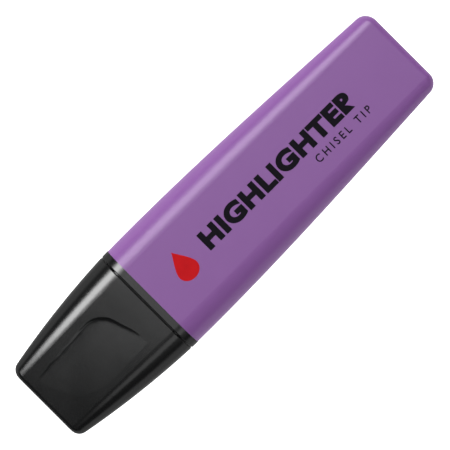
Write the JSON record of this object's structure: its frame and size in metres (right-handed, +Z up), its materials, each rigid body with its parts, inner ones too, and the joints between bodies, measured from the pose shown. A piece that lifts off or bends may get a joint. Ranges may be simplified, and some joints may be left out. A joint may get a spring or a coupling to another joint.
{
  "type": "chisel-tip highlighter marker",
  "caption": "Flat highlighter marker with a tapered lavender barrel and a black push-on cap with a thumb scoop on each broad face, over a chisel nib and a fibre ink reservoir.",
  "frame": {"origin": "on the surface that the barrel's lower broad face rests on, below the middle of the overall box", "axes": "+X towards the marker's rear end, +Y across the broad faces, +Z up through the thickness, out of the printed broad face"},
  "size_m": [0.1052, 0.0268, 0.017],
  "materials": {
    "barrel_plastic": "semi-gloss moulded polypropylene, lavender",
    "black_plastic": "semi-gloss moulded polypropylene, black",
    "nib_felt": "bonded polyester felt soaked in lavender ink",
    "reservoir_fibre": "bundled polyester fibre soaked in lavender ink",
    "clear_film": "thin clear wrapping film",
    "seal_plastic": "smooth natural polypropylene",
    "print_black": "black printing ink on the barrel",
    "print_red": "red printing ink on the barrel"
  },
  "bodies": {
    "barrel": {"barrel": "barrel_plastic", "front_section": "black_plastic", "chisel_nib": "nib_felt", "reservoir_core": "reservoir_fibre", "reservoir_film": "clear_film"},
    "cap": {"cap_shell": "black_plastic", "inner_cap": "seal_plastic"}
  },
  "joints": [
    {"name": "cap_slide", "type": "slide", "parent": "barrel", "child": "cap", "axis": [-0.9998, 0, 0.0173], "range_m": [0, 0.04]}
  ]
}
